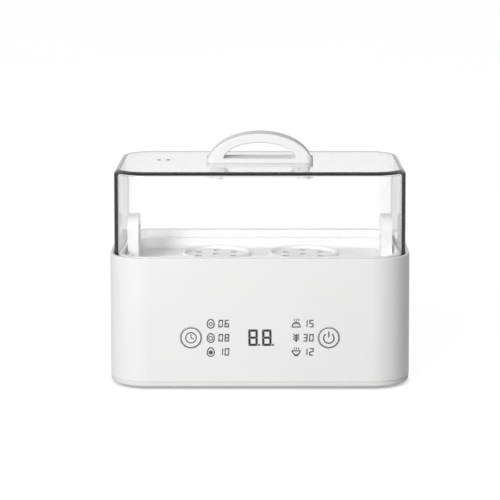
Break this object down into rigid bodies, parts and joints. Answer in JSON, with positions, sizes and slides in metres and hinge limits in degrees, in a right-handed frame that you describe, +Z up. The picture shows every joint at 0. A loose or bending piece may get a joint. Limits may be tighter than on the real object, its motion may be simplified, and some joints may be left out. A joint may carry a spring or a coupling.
{
  "type": "electric egg cooker",
  "caption": "Low rounded white egg steamer with a tall clear lift-off lid, arched handle, shallow lift-out tray with five ringed egg places, flush round keys and a small numeric display.",
  "frame": {"origin": "centre of the foot plane under the middle of the body", "axes": "+X along the width to the viewer's right, +Y from the front panel to the rear wall, +Z up"},
  "size_m": [0.204, 0.117, 0.1672],
  "materials": {
    "white_abs": "satin white moulded plastic",
    "white_pp": "matte white food-safe plastic",
    "clear_pc": "clear polished plastic",
    "grey_rubber": "soft matte rubber",
    "silicone": "translucent silicone",
    "steel": "brushed stainless steel",
    "aluminium": "satin aluminium",
    "zinc_steel": "zinc-plated steel",
    "green_board": "green solder mask",
    "black_plastic": "matte black plastic",
    "blue_plastic": "blue moulded case",
    "yellow_tape": "yellow winding tape",
    "brass": "plain brass",
    "red_wire": "red silicone sleeve",
    "grey_cable": "grey ribbon insulation",
    "lamp": "milky lamp body"
  },
  "bodies": {
    "housing": {"outer_shell": "white_abs", "inner_liner": "white_pp", "liner_screws": "zinc_steel", "plate_gasket": "silicone", "heating_plate": "steel", "heating_tube": "steel", "plate_brackets": "zinc_steel", "plate_nuts": "zinc_steel", "thermostat": "black_plastic", "thermostat_clip": "zinc_steel", "thermal_fuse": "brass", "ntc_probe": "aluminium", "left_switch": "black_plastic", "right_switch": "black_plastic", "control_board": "green_board", "board_screws": "zinc_steel", "led_display": "black_plastic", "indicator_leds": "lamp", "lamp_frame": "black_plastic", "controller_chip": "black_plastic", "buzzer": "black_plastic", "base_plate": "white_abs", "base_screws": "zinc_steel", "rubber_feet": "grey_rubber", "power_board": "green_board", "power_screws": "zinc_steel", "relay": "blue_plastic", "transformer": "yellow_tape", "film_capacitor": "blue_plastic", "smoothing_capacitor": "black_plastic", "terminal_block": "black_plastic", "cable_headers": "lamp", "ribbon_cable": "grey_cable", "heater_leads": "red_wire", "cord_gland": "grey_rubber"},
    "left_key": {"left_key": "white_abs", "left_plunger": "black_plastic"},
    "right_key": {"right_key": "white_abs", "right_plunger": "black_plastic"},
    "tray": {"egg_tray": "white_pp"},
    "lid": {"lid_shell": "clear_pc", "handle_arch": "white_abs", "handle_base": "white_abs", "clamp_plate": "white_abs", "handle_screws": "steel", "screw_caps": "white_abs"}
  },
  "joints": [
    {"name": "tray_lift", "type": "slide", "parent": "housing", "child": "tray", "axis": [0, 0, 1], "range_m": [0, 0.09]},
    {"name": "lid_lift", "type": "slide", "parent": "tray", "child": "lid", "axis": [0, 0, 1], "range_m": [0, 0.1]},
    {"name": "left_key_press", "type": "slide", "parent": "housing", "child": "left_key", "axis": [0, 1, 0], "range_m": [0, 0.0004], "stiffness_N_per_m": 600, "springref_m": -0.0005},
    {"name": "right_key_press", "type": "slide", "parent": "housing", "child": "right_key", "axis": [0, 1, 0], "range_m": [0, 0.0004], "stiffness_N_per_m": 600, "springref_m": -0.0005}
  ]
}
